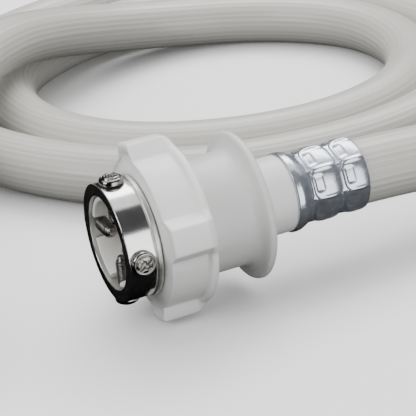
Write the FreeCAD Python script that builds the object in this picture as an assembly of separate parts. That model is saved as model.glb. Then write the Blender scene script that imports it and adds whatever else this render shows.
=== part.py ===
import FreeCAD, Part
import math
import os

# Washing machine inlet hose with a universal tap adapter and a quick connector.
# All sizes are in millimetres. The connector axis lies level along +X: the tap
# clamp faces -X and the hose leaves towards +X. The floor is z = 0.

# Stations along the connector axis, counted from the mouth of the clamp ring.
RING_LIP = 7.8
RING_BACK = 9.3
RING_TAIL_END = 17.0
SCREW_STATION = 3.7
PACKING_FRONT = 1.0
PACKING_NOTCH_END = 8.5
PACKING_FLOOR = 14.5
CORE_FRONT = 17.6
NUT_FRONT = 9.7
NUT_WALL = 20.0
NUT_BACK = 22.8
SLEEVE_FRONT = 23.3
SOCKET_FRONT = 23.6
BALL_STATION = 28.6
LOCK_RING_END = 30.2
SHOULDER_FRONT = 36.6
SHOULDER_BACK = 38.4
SLEEVE_WALL = 38.45
SLEEVE_BACK = 40.8
HUB_END = 43.4
NECK_END = 52.2
FERRULE_WALL = 1.0
FERRULE_END = 75.3
NIPPLE_END = 37.0
O_RING_STATION = 33.6

# Radii.
RING_R = 16.5
RING_LIP_R = 16.9
RING_BORE_R = 13.0
THREAD_R = 14.9
THREAD_DEPTH = 0.7
THREAD_PITCH = 2.0
NUT_BORE_R = 14.95
LOBE_R = 25.0
RECESS_R = 21.0
RIM_R = 22.6
PACKING_R = 12.6
PACKING_NOTCH_WIDTH = 6.4
CORE_R = 14.5
CORE_HUB_R = 8.6
NIPPLE_R = 8.0
NIPPLE_BORE_R = 4.5
SOCKET_BORE_R = 8.06
SOCKET_R = 11.25
SHOULDER_R = 14.2
HUB_R = 12.0
NECK_R = 11.0
SPIGOT_R = 6.6
SLEEVE_R = 16.2
SLEEVE_BORE_R = 14.6
SLEEVE_FLANGE_R = 21.0
LOCK_LAND_R = 11.35
LOCK_RELIEF_R = 12.35
FERRULE_R = 11.5
FERRULE_WAIST_R = 10.2
FERRULE_BODY_R = 10.8
HOSE_R = 9.5

# Crimp dents around the ferrule.
DENTS = 8
DENT_ANGLE = 20.5
DENT_ROWS = (58.8, 68.6)
DENT_LENGTH = 2.4

# Nut lobes.
LOBES = 4
LOBE_CENTRE = 75.0
LOBE_HALF_TIP = 8.4
LOBE_HALF_FOOT = 15.5

# Clamp screws: M4 pan head.
SCREWS = 4
SCREW_FIRST_ANGLE = 89.0
SCREW_R = 2.0
SCREW_ROOT_R = 1.65
SCREW_PITCH = 0.7
SCREW_LENGTH = 11.9
SCREW_HEAD_R = 3.4
SCREW_HEAD_H = 2.4
SCREW_SEAT_R = RING_R + 0.15
RUNNING_GAP = 0.05

# Lock balls.
BALLS = 4
BALL_FIRST_ANGLE = 45.0
BALL_R = 2.0
BALL_CENTRE_R = 9.15

# Sleeve spring.
SPRING_R = 12.9
SPRING_WIRE_R = 0.4
SPRING_TURNS = 3.0

# Machine end: a G3/4 union nut on an elbow.
END_X = -96.0
END_Z = 16.0
END_HOSE_Y = 26.0
END_FERRULE_Y = 3.0
ELBOW_Y = -8.0
ELBOW_R = 8.5
ELBOW_BORE_R = 4.8
ELBOW_FLANGE_R = 11.6
UNION_BACK = -109.0
UNION_WALL = -112.0
UNION_FLANGE_BACK = -112.2
UNION_FLANGE_FRONT = -114.4
UNION_WASHER_FRONT = -117.0
UNION_MOUTH = -131.0
UNION_R = 16.0
UNION_THREAD_R = 12.06
UNION_THREAD_START = -117.2
UNION_RELIEF_R = 12.5
UNION_RIBS = 12

AXIS_Z = LOBE_R
MOUTH_X = -FERRULE_END / 2
ALONG = FreeCAD.Vector(1, 0, 0)
UP = FreeCAD.Vector(0, 0, 1)

# Route of the free hose. The coil centre and its two full turns come between the lead and the tail.
COIL_X = 62.0
COIL_Y = 132.0
COIL_INNER_R = 55.5
COIL_OUTER_R = 94.0
HOSE_START = FERRULE_END + MOUTH_X
LEAD = [
    (HOSE_START, 0, AXIS_Z),
    (62, 0, 24),
    (92, 0, 19.5),
    (125, 8, 13),
    (155, 31, 10.5),
    (177, 65, 9.5),
    (186, 108, 9.5),
    (181, 156, 9.5),
    (158, 201, 9.5),
    (117, 235, 9.5),
    (66, 249, 9.5),
    (14, 239, 9.5),
    (-27, 206, 9.5),
    (-45, 160, 9.5),
    (-38, 117, 9.5),
    (-17, 81, 9.5),
]
TAIL = [
    (120, 163, 9.5),
    (97, 187, 9.5),
    (67, 198, 11),
    (36, 194, 17),
    (9, 180, 25),
    (-14, 160, 32),
    (-37, 137, 33),
    (-60, 113, 31),
    (-78, 87, 22),
    (-90, 59, 16.5),
    (END_X, END_HOSE_Y, END_Z),
]


def at(station, radius=0.0, angle=0.0):
    """A point of the connector: station along its axis, radius and angle (0 is +Y, 90 is up)."""
    turn = math.radians(angle)
    return FreeCAD.Vector(MOUTH_X + station, radius * math.cos(turn), AXIS_Z + radius * math.sin(turn))


def face_of(points):
    """A flat face inside a closed row of corner points."""
    return Part.Face(Part.makePolygon(points + [points[0]]))


def turned(profile):
    """A solid turned about the connector axis from (station, radius) corners."""
    corners = [at(station, radius, 90) for station, radius in profile]
    return face_of(corners).revolve(at(0), ALONG, 360)


def rod(radius, start, end):
    """A round rod on the connector axis between two stations."""
    return Part.makeCylinder(radius, end - start, at(start), ALONG)


def ridges(start, end, pitch, crest, root):
    """(station, radius) corners of ring-shaped thread ridges from start to end."""
    corners = [(start, crest)]
    for i in range(int((end - start) / pitch)):
        here = start + i * pitch
        corners += [(here + 0.3 * pitch, crest), (here + 0.55 * pitch, root), (here + 0.75 * pitch, root)]
        corners.append((here + pitch, crest))
    return corners + [(end, crest)]


def clamp_ring():
    """Plated ring: visible band, back lip and a threaded tail that the nut turns on."""
    tail = ridges(RING_BACK + 0.6, RING_TAIL_END, THREAD_PITCH, THREAD_R, THREAD_R - THREAD_DEPTH)
    band = [
        (0, RING_BORE_R + 0.3),
        (0, RING_R - 0.5),
        (0.5, RING_R),
        (RING_LIP - 0.4, RING_R),
        (RING_LIP - 0.2, RING_R - 0.3),
        (RING_LIP, RING_R),
        (RING_LIP + 0.2, RING_LIP_R),
        (RING_BACK, RING_LIP_R),
        (RING_BACK, THREAD_R),
    ]
    bore = [(RING_TAIL_END, RING_BORE_R), (0.3, RING_BORE_R)]
    ring = turned(band + tail + bore)
    for angle in screw_angles():
        ring = ring.cut(radial_rod(SCREW_R + RUNNING_GAP, SCREW_STATION, angle, RING_R + 2))
    return ring


def radial_rod(radius, station, angle, reach):
    """A round rod from the axis outwards at a station and angle."""
    outwards = at(station, 1, angle) - at(station)
    return Part.makeCylinder(radius, reach, at(station), outwards)


def screw_angles():
    return [SCREW_FIRST_ANGLE + 360 / SCREWS * i for i in range(SCREWS)]


def clamp_screw(angle):
    """Pan head machine screw, head outside the ring and tip pointing at the axis."""
    r, h = SCREW_HEAD_R, SCREW_HEAD_H
    count = int(SCREW_LENGTH / SCREW_PITCH) - 1
    shank = [(0.0, -SCREW_LENGTH), (SCREW_ROOT_R - 0.3, -SCREW_LENGTH)]
    for i in range(count):
        here = -SCREW_LENGTH + SCREW_PITCH * (i + 0.5)
        shank += [(SCREW_ROOT_R, here), (SCREW_R, here + 0.3), (SCREW_R, here + 0.4)]
    shank += [(SCREW_ROOT_R, -0.6), (SCREW_ROOT_R, 0.0)]
    head = [(r, 0.0), (r, 0.35 * h), (0.94 * r, 0.62 * h), (0.75 * r, 0.84 * h), (0.45 * r, 0.96 * h)]
    outline = shank + head + [(0.0, h)]
    face = face_of([FreeCAD.Vector(a, 0, b) for a, b in outline])
    screw = face.revolve(FreeCAD.Vector(0, 0, 0), UP, 360)
    slot_deep = 0.45 * h
    slot = Part.makeBox(2 * r + 1, 0.9, slot_deep + 1, FreeCAD.Vector(-r - 0.5, -0.45, h - slot_deep))
    cross = Part.makeBox(0.9, 1.1 * r, slot_deep + 1, FreeCAD.Vector(-0.45, -0.55 * r, h - slot_deep))
    screw = screw.cut(slot).cut(cross)
    screw.rotate(FreeCAD.Vector(0, 0, 0), UP, 35)
    outwards = at(0, 1, angle) - at(0)
    screw.Placement = FreeCAD.Placement(
        at(SCREW_STATION, SCREW_SEAT_R, angle), FreeCAD.Rotation(UP, outwards)
    ).multiply(screw.Placement)
    return screw


def packing():
    """Soft cup that the tap spout presses into. Open notches in its wall let the screws through."""
    cup = turned(
        [
            (PACKING_FRONT, 11.3),
            (PACKING_FRONT, PACKING_R - 0.4),
            (PACKING_FRONT + 0.4, PACKING_R),
            (CORE_FRONT, PACKING_R),
            (CORE_FRONT, 4.6),
            (PACKING_FLOOR, 4.6),
            (PACKING_FLOOR, 9.6),
        ]
    )
    wide = PACKING_NOTCH_WIDTH
    for angle in screw_angles():
        notch = Part.makeBox(PACKING_NOTCH_END, wide, PACKING_R + 1, at(0) - FreeCAD.Vector(0, wide / 2, 0))
        notch.rotate(at(0), ALONG, angle - 90)
        cup = cup.cut(notch)
    return cup


def adapter_core():
    """Flanged nipple: the nut pulls its flange to the ring and the socket locks on its tube."""
    core = turned(
        [
            (CORE_FRONT, NIPPLE_BORE_R),
            (CORE_FRONT, CORE_R),
            (NUT_WALL - 0.05, CORE_R),
            (NUT_WALL - 0.05, CORE_HUB_R),
            (NUT_BACK, CORE_HUB_R),
            (NUT_BACK, NIPPLE_R),
            (O_RING_STATION - 0.95, NIPPLE_R),
            (O_RING_STATION - 0.95, NIPPLE_R - 1.65),
            (O_RING_STATION + 0.95, NIPPLE_R - 1.65),
            (O_RING_STATION + 0.95, NIPPLE_R),
            (NIPPLE_END - 0.8, NIPPLE_R),
            (NIPPLE_END, NIPPLE_R - 0.8),
            (NIPPLE_END, NIPPLE_BORE_R),
        ]
    )
    groove = Part.makeTorus(BALL_CENTRE_R, BALL_R + 0.1, at(BALL_STATION), ALONG)
    return core.cut(groove)


def nipple_o_ring():
    return Part.makeTorus(NIPPLE_R - 0.8, 0.85, at(O_RING_STATION), ALONG)


def nut_outline():
    """Closed wire of the lobes and the recesses between them, at the front of the nut."""
    step = 360 / LOBES
    edges = []
    for i in range(LOBES):
        middle = LOBE_CENTRE + step * i
        foot_a = at(NUT_FRONT, RECESS_R, middle - LOBE_HALF_FOOT)
        tip_a = at(NUT_FRONT, LOBE_R, middle - LOBE_HALF_TIP)
        tip_b = at(NUT_FRONT, LOBE_R, middle + LOBE_HALF_TIP)
        foot_b = at(NUT_FRONT, RECESS_R, middle + LOBE_HALF_FOOT)
        next_foot = at(NUT_FRONT, RECESS_R, middle + step - LOBE_HALF_FOOT)
        edges.append(Part.LineSegment(foot_a, tip_a).toShape())
        edges.append(Part.Arc(tip_a, at(NUT_FRONT, LOBE_R, middle), tip_b).toShape())
        edges.append(Part.LineSegment(tip_b, foot_b).toShape())
        edges.append(Part.Arc(foot_b, at(NUT_FRONT, RECESS_R, middle + step / 2), next_foot).toShape())
    return Part.Wire(edges)


def lock_nut():
    """Hand nut with four lobes, a back rim, and a wall that bears on the core's flange."""
    lobed = Part.Face(nut_outline()).extrude(ALONG * (NUT_BACK - NUT_FRONT))
    envelope = turned(
        [
            (NUT_FRONT, 0),
            (NUT_FRONT, 17.4),
            (NUT_FRONT + 1.2, 20.4),
            (NUT_FRONT + 0.3, 21.6),
            (NUT_FRONT + 0.3, LOBE_R - 0.6),
            (NUT_FRONT + 0.9, LOBE_R),
            (NUT_BACK - 1.6, LOBE_R),
            (NUT_BACK - 0.4, LOBE_R - 1.4),
            (NUT_BACK, RIM_R - 0.6),
            (NUT_BACK, 0),
        ]
    )
    rim = turned([(NUT_BACK - 2.4, 0), (NUT_BACK - 2.4, RIM_R - 0.5), (NUT_BACK - 1.9, RIM_R)]
                 + [(NUT_BACK - 0.6, RIM_R), (NUT_BACK, RIM_R - 0.6), (NUT_BACK, 0)])
    thread = ridges(NUT_FRONT + 0.8, NUT_FRONT + 6.8, THREAD_PITCH, NUT_BORE_R, NUT_BORE_R + THREAD_DEPTH)
    hollow = turned([(NUT_FRONT - 1, 0), (NUT_FRONT - 1, NUT_BORE_R)] + thread
                    + [(NUT_WALL, NUT_BORE_R), (NUT_WALL, 0)])
    nut = lobed.common(envelope).fuse(rim).cut(hollow).cut(rod(CORE_HUB_R + 0.4, NUT_WALL - 1, NUT_BACK + 1))
    return nut.removeSplitter()


def socket_body():
    """Socket that holds the lock balls, the neck behind it and the ribbed spigot in the hose."""
    spigot = [(NECK_END, SPIGOT_R)]
    for i in range(4):
        here = NECK_END + 2.5 + 4.5 * i
        spigot += [(here, SPIGOT_R - 0.5), (here + 3.6, SPIGOT_R), (here + 4.2, SPIGOT_R)]
    body = turned(
        [
            (SOCKET_FRONT, SOCKET_BORE_R + 0.5),
            (SOCKET_FRONT, SOCKET_R),
            (SHOULDER_FRONT, SOCKET_R),
            (SHOULDER_FRONT, SHOULDER_R),
            (SHOULDER_BACK, SHOULDER_R),
            (SHOULDER_BACK, HUB_R),
            (HUB_END - 0.6, HUB_R),
            (HUB_END, HUB_R - 0.6),
            (HUB_END, NECK_R),
            (NECK_END - 0.5, NECK_R),
            (NECK_END, NECK_R - 0.5),
        ]
        + spigot
        + [
            (FERRULE_END - 1.5, SPIGOT_R - 0.6),
            (FERRULE_END - 1.5, NIPPLE_BORE_R),
            (NIPPLE_END + 0.4, NIPPLE_BORE_R),
            (NIPPLE_END + 0.4, SOCKET_BORE_R),
            (SOCKET_FRONT + 0.5, SOCKET_BORE_R),
        ]
    )
    for angle in ball_angles():
        body = body.cut(radial_rod(BALL_R + RUNNING_GAP, BALL_STATION, angle, SOCKET_R + 1))
    return body


def ball_angles():
    return [BALL_FIRST_ANGLE + 360 / BALLS * i for i in range(BALLS)]


def release_sleeve():
    """Outer sleeve with its finger flange. It slides back over the socket's hub."""
    return turned(
        [
            (SLEEVE_FRONT, SLEEVE_BORE_R),
            (SLEEVE_FRONT, SLEEVE_R - 0.5),
            (SLEEVE_FRONT + 0.5, SLEEVE_R),
            (SLEEVE_WALL - 2.6, SLEEVE_R),
            (SLEEVE_WALL - 1.3, SLEEVE_R + 0.5),
            (SLEEVE_WALL - 0.4, SLEEVE_R + 1.7),
            (SLEEVE_WALL - 0.1, SLEEVE_FLANGE_R - 1.2),
            (SLEEVE_WALL + 0.3, SLEEVE_FLANGE_R - 0.3),
            (SLEEVE_WALL + 1.1, SLEEVE_FLANGE_R),
            (SLEEVE_BACK - 0.5, SLEEVE_FLANGE_R - 0.3),
            (SLEEVE_BACK, SLEEVE_FLANGE_R - 1.2),
            (SLEEVE_BACK, HUB_R + 0.4),
            (SLEEVE_WALL, HUB_R + 0.4),
            (SLEEVE_WALL, SLEEVE_BORE_R),
        ]
    )


def lock_ring():
    """Ring pressed into the sleeve: its land holds the balls in and its relief frees them."""
    return turned(
        [
            (SLEEVE_FRONT, LOCK_RELIEF_R),
            (SLEEVE_FRONT, SLEEVE_BORE_R),
            (LOCK_RING_END, SLEEVE_BORE_R),
            (LOCK_RING_END, LOCK_LAND_R),
            (BALL_STATION - 0.3, LOCK_LAND_R),
            (BALL_STATION - 2.0, LOCK_RELIEF_R),
        ]
    )


def sleeve_spring():
    """Round wire coil between the lock ring and the socket's shoulder."""
    room = SHOULDER_FRONT - LOCK_RING_END - 2 * SPRING_WIRE_R - 0.1
    helix = Part.makeHelix(room / SPRING_TURNS, room, SPRING_R)
    wire = Part.Wire(Part.makeCircle(SPRING_WIRE_R, FreeCAD.Vector(SPRING_R, 0, 0), FreeCAD.Vector(0, 1, 0)))
    spring = Part.Wire(helix.Edges).makePipeShell([wire], True, True)
    start = LOCK_RING_END + SPRING_WIRE_R + 0.05
    spring.Placement = FreeCAD.Placement(at(start), FreeCAD.Rotation(UP, ALONG))
    return spring


def lock_ball(angle):
    return Part.makeSphere(BALL_R, at(BALL_STATION, BALL_CENTRE_R, angle))


def ferrule_profile(length):
    """(distance from the closed end, radius) corners of a crimped ferrule."""
    return [
        (0, SPIGOT_R + 0.05),
        (0, FERRULE_R - 0.6),
        (0.5, FERRULE_R),
        (3.2, FERRULE_R - 0.1),
        (4.8, FERRULE_WAIST_R),
        (5.4, FERRULE_WAIST_R),
        (6.4, FERRULE_BODY_R),
        (length - 0.3, FERRULE_BODY_R),
        (length, FERRULE_BODY_R - 0.3),
        (length, HOSE_R),
        (FERRULE_WALL, HOSE_R),
        (FERRULE_WALL, SPIGOT_R + 0.05),
    ]


def ferrule():
    """Aluminium shell crimped on the hose end by two rows of shallow dents."""
    shell = turned([(NECK_END + d, r) for d, r in ferrule_profile(FERRULE_END - NECK_END)])
    wide = 4.4
    for row in DENT_ROWS:
        for i in range(DENTS):
            dent = Part.makeBox(DENT_LENGTH, wide, 3, at(row) + FreeCAD.Vector(0, -wide / 2, FERRULE_BODY_R - 0.6))
            dent.rotate(at(row), ALONG, DENT_ANGLE + 360 / DENTS * i)
            shell = shell.cut(dent)
    return shell


def rounded_path(points):
    """Straight runs joined by tangent arcs, with each arc's radius in a list."""
    corners = [FreeCAD.Vector(*p) for p in points]
    edges = []
    radii = []
    here = corners[0]
    for before, corner, after in zip(corners, corners[1:], corners[2:]):
        back = (before - corner).normalize()
        ahead = (after - corner).normalize()
        shorter = min((before - corner).Length, (after - corner).Length)
        half_turn = (math.pi - back.getAngle(ahead)) / 2
        cut = 0.45 * shorter
        radius = cut / math.tan(half_turn)
        start = corner + back * cut
        end = corner + ahead * cut
        middle = corner + (back + ahead).normalize() * (radius / math.cos(half_turn) - radius)
        edges.append(Part.LineSegment(here, start).toShape())
        edges.append(Part.Arc(start, middle, end).toShape())
        radii.append(radius)
        here = end
    edges.append(Part.LineSegment(here, corners[-1]).toShape())
    return Part.Wire(edges), radii


def tube(name, points):
    """A plain round hose along a route, with its bend radii printed."""
    path, radii = rounded_path(points)
    first = FreeCAD.Vector(*points[0])
    heading = FreeCAD.Vector(*points[1]) - first
    section = Part.Wire(Part.makeCircle(HOSE_R, first, heading))
    solid = path.makePipeShell([section], True, False)
    expected = math.pi * HOSE_R**2 * path.Length
    print(name, "length %.0f" % path.Length, "volume / expected %.4f" % (solid.Volume / expected))
    print("  radii " + " ".join("%.0f" % r for r in radii))
    return solid


def hose_end(start, heading, length):
    """The stretch of hose inside a ferrule, hollow for the spigot."""
    outer = Part.makeCylinder(HOSE_R, length, start, heading)
    return outer.cut(Part.makeCylinder(SPIGOT_R, length - 1.0, start, heading))


def hose_lead():
    inside = FERRULE_END - NECK_END - FERRULE_WALL
    gripped = hose_end(at(NECK_END + FERRULE_WALL), ALONG, inside)
    return tube("hose_lead", LEAD).fuse(gripped)


def hose_tail():
    inside = END_HOSE_Y - END_FERRULE_Y - FERRULE_WALL
    start = FreeCAD.Vector(END_X, END_FERRULE_Y + FERRULE_WALL, END_Z)
    return tube("hose_tail", TAIL).fuse(hose_end(start, FreeCAD.Vector(0, 1, 0), inside))


def hose_coil():
    """Closed ring of the outer shape of the two full turns that lie side by side."""
    bottom = FreeCAD.Vector(COIL_X, COIL_Y, 0)
    outer = Part.makeCylinder(COIL_OUTER_R, 2 * HOSE_R, bottom)
    ring = outer.cut(Part.makeCylinder(COIL_INNER_R, 2 * HOSE_R, bottom))
    return ring.makeChamfer(3.0, [e for e in ring.Edges if e.Curve.TypeId == "Part::GeomCircle"])


def turned_about(profile, centre, heading):
    """A solid turned about any axis from (distance along it, radius) corners."""
    side = heading.cross(UP).normalize()
    corners = [centre + heading * along + side * radius for along, radius in profile]
    return face_of(corners).revolve(centre, heading, 360)


def end_ferrule():
    length = END_HOSE_Y - END_FERRULE_Y
    start = FreeCAD.Vector(END_X, END_FERRULE_Y, END_Z)
    return turned_about(ferrule_profile(length), start, FreeCAD.Vector(0, 1, 0))


def elbow():
    """Plastic elbow: spigot in the hose, round corner, and a flanged leg for the union nut."""
    corner = FreeCAD.Vector(END_X, ELBOW_Y, END_Z)
    to_hose = FreeCAD.Vector(0, 1, 0)
    to_union = FreeCAD.Vector(-1, 0, 0)
    hose_leg = END_FERRULE_Y - ELBOW_Y
    tip = END_HOSE_Y - ELBOW_Y - 1.5
    leg = END_X - UNION_FLANGE_FRONT
    flange = END_X - UNION_FLANGE_BACK
    body = Part.makeSphere(ELBOW_R, corner)
    body = body.fuse(Part.makeCylinder(ELBOW_R, hose_leg, corner, to_hose))
    body = body.fuse(Part.makeCylinder(SPIGOT_R, tip, corner, to_hose))
    body = body.fuse(Part.makeCylinder(ELBOW_R, leg, corner, to_union))
    body = body.fuse(Part.makeCylinder(ELBOW_FLANGE_R, leg - flange, corner + to_union * flange, to_union))
    body = body.cut(Part.makeCylinder(ELBOW_BORE_R, tip + 1, corner, to_hose))
    body = body.cut(Part.makeCylinder(ELBOW_BORE_R, leg + 1, corner, to_union))
    return body.cut(Part.makeSphere(ELBOW_BORE_R, corner))


def union_nut():
    """Hand nut with grip ribs. Its thread fits a G3/4 machine inlet."""
    start = FreeCAD.Vector(UNION_BACK, ELBOW_Y, END_Z)
    to_mouth = FreeCAD.Vector(-1, 0, 0)
    wall = UNION_BACK - UNION_WALL
    length = UNION_BACK - UNION_MOUTH
    thread = UNION_BACK - UNION_THREAD_START
    shell = turned_about(
        [
            (0, ELBOW_R + 0.4),
            (0, 13.0),
            (1.5, 14.9),
            (length - 0.5, 14.9),
            (length, 14.4),
            (length, UNION_THREAD_R + 0.6),
            (length - 0.6, UNION_THREAD_R),
            (thread, UNION_THREAD_R),
            (thread, UNION_RELIEF_R),
            (wall, UNION_RELIEF_R),
            (wall, ELBOW_R + 0.4),
        ],
        start,
        to_mouth,
    )
    for i in range(UNION_RIBS):
        rib = Part.makeBox(length - 5, 2.4, 1.9, start + FreeCAD.Vector(3 - length, -1.2, UNION_R - 1.9))
        rib.rotate(start, to_mouth, 360 / UNION_RIBS * i)
        shell = shell.fuse(rib)
    limit = Part.makeCylinder(UNION_R, length, start, to_mouth)
    return shell.common(limit)


def inlet_washer():
    start = FreeCAD.Vector(UNION_FLANGE_FRONT, ELBOW_Y, END_Z)
    thick = UNION_FLANGE_FRONT - UNION_WASHER_FRONT
    to_mouth = FreeCAD.Vector(-1, 0, 0)
    disc = Part.makeCylinder(UNION_THREAD_R - 0.16, thick, start, to_mouth)
    return disc.cut(Part.makeCylinder(ELBOW_BORE_R + 1.5, thick, start, to_mouth))


def build():
    nodes = {
        "clamp_ring": clamp_ring(),
        "packing": packing(),
        "adapter_core": adapter_core(),
        "nipple_o_ring": nipple_o_ring(),
        "lock_nut": lock_nut(),
        "socket_body": socket_body(),
        "release_sleeve": release_sleeve(),
        "lock_ring": lock_ring(),
        "sleeve_spring": sleeve_spring(),
        "ferrule": ferrule(),
        "hose_lead": hose_lead(),
        "hose_coil": hose_coil(),
        "hose_tail": hose_tail(),
        "end_ferrule": end_ferrule(),
        "elbow": elbow(),
        "union_nut": union_nut(),
        "inlet_washer": inlet_washer(),
    }
    for i, angle in enumerate(screw_angles()):
        nodes["clamp_screw_%d" % (i + 1)] = clamp_screw(angle)
    for i, angle in enumerate(ball_angles()):
        nodes["lock_ball_%d" % (i + 1)] = lock_ball(angle)
    return nodes


os.makedirs("parts", exist_ok=True)
for node, shape in build().items():
    print(node, "valid" if shape.isValid() else "INVALID", "%.0f mm3" % shape.Volume, len(shape.Solids), "solid")
    shape.exportStep("parts/%s.step" % node)
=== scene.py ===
"""Looks of a coiled water inlet hose with a tap adapter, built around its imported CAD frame."""

import math

import bpy
import bmesh
from mathutils import Matrix, Vector


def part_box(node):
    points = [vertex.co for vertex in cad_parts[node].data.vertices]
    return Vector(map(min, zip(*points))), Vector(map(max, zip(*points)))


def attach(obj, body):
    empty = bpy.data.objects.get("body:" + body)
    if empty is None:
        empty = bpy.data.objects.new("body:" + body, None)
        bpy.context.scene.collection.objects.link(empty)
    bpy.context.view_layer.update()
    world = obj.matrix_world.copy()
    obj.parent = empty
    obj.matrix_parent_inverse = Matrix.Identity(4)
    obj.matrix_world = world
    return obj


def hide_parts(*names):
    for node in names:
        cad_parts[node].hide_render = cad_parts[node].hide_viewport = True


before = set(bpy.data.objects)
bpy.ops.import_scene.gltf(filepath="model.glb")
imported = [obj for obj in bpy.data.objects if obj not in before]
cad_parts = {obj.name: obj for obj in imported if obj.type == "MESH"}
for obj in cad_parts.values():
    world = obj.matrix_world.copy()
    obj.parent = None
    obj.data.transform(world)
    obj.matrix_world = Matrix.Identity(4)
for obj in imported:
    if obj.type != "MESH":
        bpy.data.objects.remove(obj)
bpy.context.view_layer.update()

MM = 0.001
FULL_TURN = 2 * math.pi

# Places read from the frame. The connector's axis runs along +X and the union nut's along -X.
RING_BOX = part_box("clamp_ring")
FERRULE_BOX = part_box("ferrule")
END_FERRULE_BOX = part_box("end_ferrule")
UNION_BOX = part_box("union_nut")

MOUTH = RING_BOX[0][0]
AXIS_Z = (RING_BOX[0][2] + RING_BOX[1][2]) / 2
FERRULE_START = FERRULE_BOX[0][0]
END_AXIS_X = (END_FERRULE_BOX[0][0] + END_FERRULE_BOX[1][0]) / 2
END_AXIS_Z = (END_FERRULE_BOX[0][2] + END_FERRULE_BOX[1][2]) / 2
END_COLLAR_Y = END_FERRULE_BOX[0][1]
UNION_Y = (UNION_BOX[0][1] + UNION_BOX[1][1]) / 2
UNION_Z = (UNION_BOX[0][2] + UNION_BOX[1][2]) / 2
UNION_BACK = UNION_BOX[1][0]

SCREWS = 4
BALLS = 4
HOSE_R = 9.5 * MM
UP = Vector((0, 0, 1))


# ---------------------------------------------------------------- camera

# Metres, degrees, and millimetres for the lens and the sensor.
CAMERA_PLACE = (-0.14751, -0.34217, 0.20085)
CAMERA_HEADING = -22.246
CAMERA_DOWN = 25.215
CAMERA_ROLL = -6.124
CAMERA_LENS = 129.9
CAMERA_SENSOR = 36
CAMERA_NEAR = 0.01


def rotation(degrees, axis):
    return Matrix.Rotation(math.radians(degrees), 4, axis)


def add_camera():
    """The camera at the photograph's viewing angle, in front of the ring and above it."""
    data = bpy.data.cameras.new("camera")
    data.lens = CAMERA_LENS
    data.sensor_width = CAMERA_SENSOR
    data.clip_start = CAMERA_NEAR
    obj = bpy.data.objects.new("camera", data)
    bpy.context.collection.objects.link(obj)
    aim = rotation(CAMERA_HEADING, "Z") @ rotation(90 - CAMERA_DOWN, "X")
    obj.matrix_world = Matrix.Translation(CAMERA_PLACE) @ aim @ rotation(CAMERA_ROLL, "Z")
    bpy.context.scene.camera = obj


# ---------------------------------------------------------------- hose route

# Metres and degrees. The coil's control points stand every COIL_STEP degrees around its centre,
# and the hose moves in to the outer and then to the inner turn between the angles given.
COIL_CENTRE = (0.062, 0.132)
COIL_STEP = 24.5
COIL_FIRST = 236
COIL_LAST = 726
LEAD_END_R = 0.094
OUTER_TURN_R = 0.0845
INNER_TURN_R = 0.065
TO_OUTER = (212, 260)
TO_INNER = (505, 610)
ROUTE_DETAIL = 14
LEAD = [
    (0.0345, 0, 0.025),
    (0.062, 0, 0.024),
    (0.092, 0, 0.0195),
    (0.125, 0.008, 0.013),
    (0.155, 0.031, 0.0105),
    (0.177, 0.065, 0.0095),
    (0.186, 0.108, 0.0095),
    (0.181, 0.156, 0.0095),
    (0.158, 0.201, 0.0095),
    (0.117, 0.235, 0.0095),
    (0.066, 0.249, 0.0095),
    (0.014, 0.239, 0.0095),
    (-0.027, 0.206, 0.0095),
    (-0.045, 0.160, 0.0095),
    (-0.038, 0.117, 0.0095),
    (-0.017, 0.081, 0.0095),
]
TAIL = [
    (0.120, 0.163, 0.0095),
    (0.097, 0.187, 0.0095),
    (0.067, 0.198, 0.011),
    (0.036, 0.194, 0.017),
    (0.009, 0.180, 0.025),
    (-0.014, 0.160, 0.032),
    (-0.037, 0.137, 0.033),
    (-0.060, 0.113, 0.031),
    (-0.078, 0.087, 0.022),
    (-0.090, 0.059, 0.0165),
    (-0.096, 0.026, 0.016),
]


def mix(a, b, t):
    """a at t = 0 and b at t = 1, staying within them beyond."""
    return a + (b - a) * min(1.0, max(0.0, t))


def share(span, value):
    """How far a value has come through a span, 0 at its start and 1 at its end."""
    return (value - span[0]) / (span[1] - span[0])


def coil_radius(angle):
    """The hose's distance from the coil's centre: in from the lead, outer turn, inner turn."""
    if angle < TO_OUTER[1]:
        return mix(LEAD_END_R, OUTER_TURN_R, share(TO_OUTER, angle))
    return mix(OUTER_TURN_R, INNER_TURN_R, share(TO_INNER, angle))


def coil_points():
    """Control points far enough out that the spline between them keeps to the coil's radius."""
    points = []
    angle = COIL_FIRST
    while angle <= COIL_LAST:
        reach = coil_radius(angle) / math.cos(math.radians(COIL_STEP / 2))
        turn = math.radians(angle)
        x = COIL_CENTRE[0] + reach * math.cos(turn)
        y = COIL_CENTRE[1] + reach * math.sin(turn)
        points.append((x, y, HOSE_R))
        angle += COIL_STEP
    return points


def smooth_line(points):
    """Points read from one NURBS spline along the route."""
    curve = bpy.data.curves.new("route", "CURVE")
    curve.dimensions = "3D"
    spline = curve.splines.new("NURBS")
    spline.points.add(len(points) - 1)
    for point, place in zip(spline.points, points):
        point.co = (*place, 1)
    spline.order_u = 3
    spline.use_endpoint_u = True
    spline.resolution_u = ROUTE_DETAIL
    holder = bpy.data.objects.new("route", curve)
    bpy.context.collection.objects.link(holder)
    bpy.context.view_layer.update()
    mesh = bpy.data.meshes.new_from_object(holder)
    line = [v.co.copy() for v in mesh.vertices]
    bpy.data.objects.remove(holder)
    return line


# ---------------------------------------------------------------- mesh helpers

WELD = 1e-7


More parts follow.
